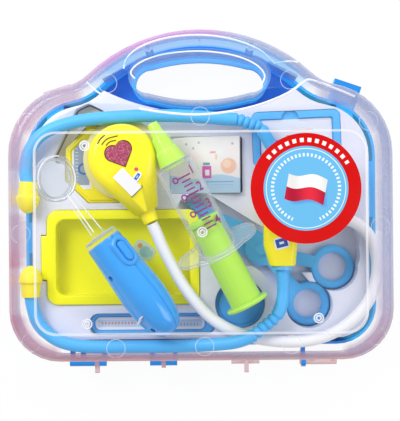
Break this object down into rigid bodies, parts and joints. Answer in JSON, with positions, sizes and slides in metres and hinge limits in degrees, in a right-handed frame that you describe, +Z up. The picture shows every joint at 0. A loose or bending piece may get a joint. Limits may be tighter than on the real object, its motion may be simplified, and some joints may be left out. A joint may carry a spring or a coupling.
{
  "type": "toy doctor case",
  "caption": "Toy doctor case lying on its back: blue base, clear hinged lid with a handle hole, and a white tray with play stethoscope, syringe, exam light, scissors, dish and small items.",
  "frame": {"origin": "middle of the bounding box's underside: the case lies on its flat back", "axes": "+X right across the lid, +Y toward the handle, +Z up through the clear lid"},
  "size_m": [0.264, 0.2402, 0.064],
  "materials": {
    "blue_shell": "smooth, moulded",
    "white_sheet": "smooth formed sheet",
    "clear_lid": "clear, slightly lilac at the edges",
    "sticker_red": "printed sticker",
    "yellow_plastic": "smooth",
    "dish_yellow": "smooth",
    "dial_sticker": "printed sticker",
    "cream_plastic": "slightly cloudy",
    "printed_card": "printed card",
    "light_blue": "smooth",
    "jar_blue": "slightly clear",
    "inlay_white": "smooth",
    "scissor_blue": "smooth",
    "glitter_heart": "glitter in the plastic",
    "circuit_green": "matt board",
    "speaker_black": "matt",
    "cell_steel": "plain",
    "white_tab": "thin film",
    "hose_white": "smooth and soft",
    "tube_blue": "satin",
    "tip_yellow": "satin and soft",
    "clear_parts": "clear",
    "syringe_green": "smooth",
    "light_handle_blue": "smooth",
    "lamp_lens": "smooth",
    "mirror_film": "smooth"
  },
  "bodies": {
    "case": {"base_shell": "blue_shell", "insert_tray": "white_sheet", "dish": "dish_yellow", "gauge_body": "yellow_plastic", "gauge_dial": "dial_sticker", "gauge_hoop": "cream_plastic", "medicine_box": "printed_card", "badge_frame": "light_blue", "badge_card": "printed_card", "thermometer_body": "light_blue", "thermometer_inlay": "inlay_white", "scissor_blade_b": "scissor_blue", "scissor_rivet": "scissor_blue", "pill_jar": "jar_blue", "pill_jar_lid": "jar_blue", "head_front_shell": "yellow_plastic", "head_back_shell": "yellow_plastic", "head_rim": "cream_plastic", "head_circuit_board": "circuit_green", "head_speaker": "speaker_black", "head_button_cells": "cell_steel", "head_pull_tab": "white_tab", "hose_ferrule": "yellow_plastic", "stethoscope_hose": "hose_white", "hose_connector": "yellow_plastic", "tube_flange": "light_blue", "ear_tube_upper": "tube_blue", "ear_tube_lower": "tube_blue", "ear_tip_upper": "tip_yellow", "ear_tip_lower": "tip_yellow", "syringe_barrel": "clear_parts", "syringe_nozzle": "syringe_green", "light_front_shell": "light_handle_blue", "light_back_shell": "light_handle_blue", "mirror_head": "clear_parts", "mirror_glass": "mirror_film", "light_lamp": "lamp_lens", "light_circuit_board": "circuit_green", "light_button_cells": "cell_steel", "light_pull_tab": "white_tab", "light_screws": "cell_steel"},
    "lid": {"lid_shell": "clear_lid", "lid_sticker": "sticker_red"},
    "plunger": {"syringe_plunger": "syringe_green"},
    "heart_button": {"heart_button": "glitter_heart"},
    "light_button": {"light_button": "light_handle_blue"},
    "scissor_half": {"scissor_blade_a": "scissor_blue"}
  },
  "joints": [
    {"name": "lid_hinge", "type": "hinge", "parent": "case", "child": "lid", "pos_m": [0, -0.1125, 0.02415], "axis": [1, 0, 0], "range_deg": [0, 120]},
    {"name": "plunger_slide", "type": "slide", "parent": "case", "child": "plunger", "axis": [-0.4599, 0.8873, 0.0349], "range_m": [0, 0.033]},
    {"name": "heart_press", "type": "slide", "parent": "case", "child": "heart_button", "axis": [0, 0, -1], "range_m": [0, 0.0015], "stiffness_N_per_m": 400},
    {"name": "light_press", "type": "slide", "parent": "case", "child": "light_button", "axis": [-0.5174, -0.3814, -0.766], "range_m": [0, 0.0012], "stiffness_N_per_m": 400},
    {"name": "scissor_pivot", "type": "hinge", "parent": "case", "child": "scissor_half", "pos_m": [0.0443, -0.0331, 0.009], "axis": [0, 0, 1], "range_deg": [0, 30]}
  ]
}
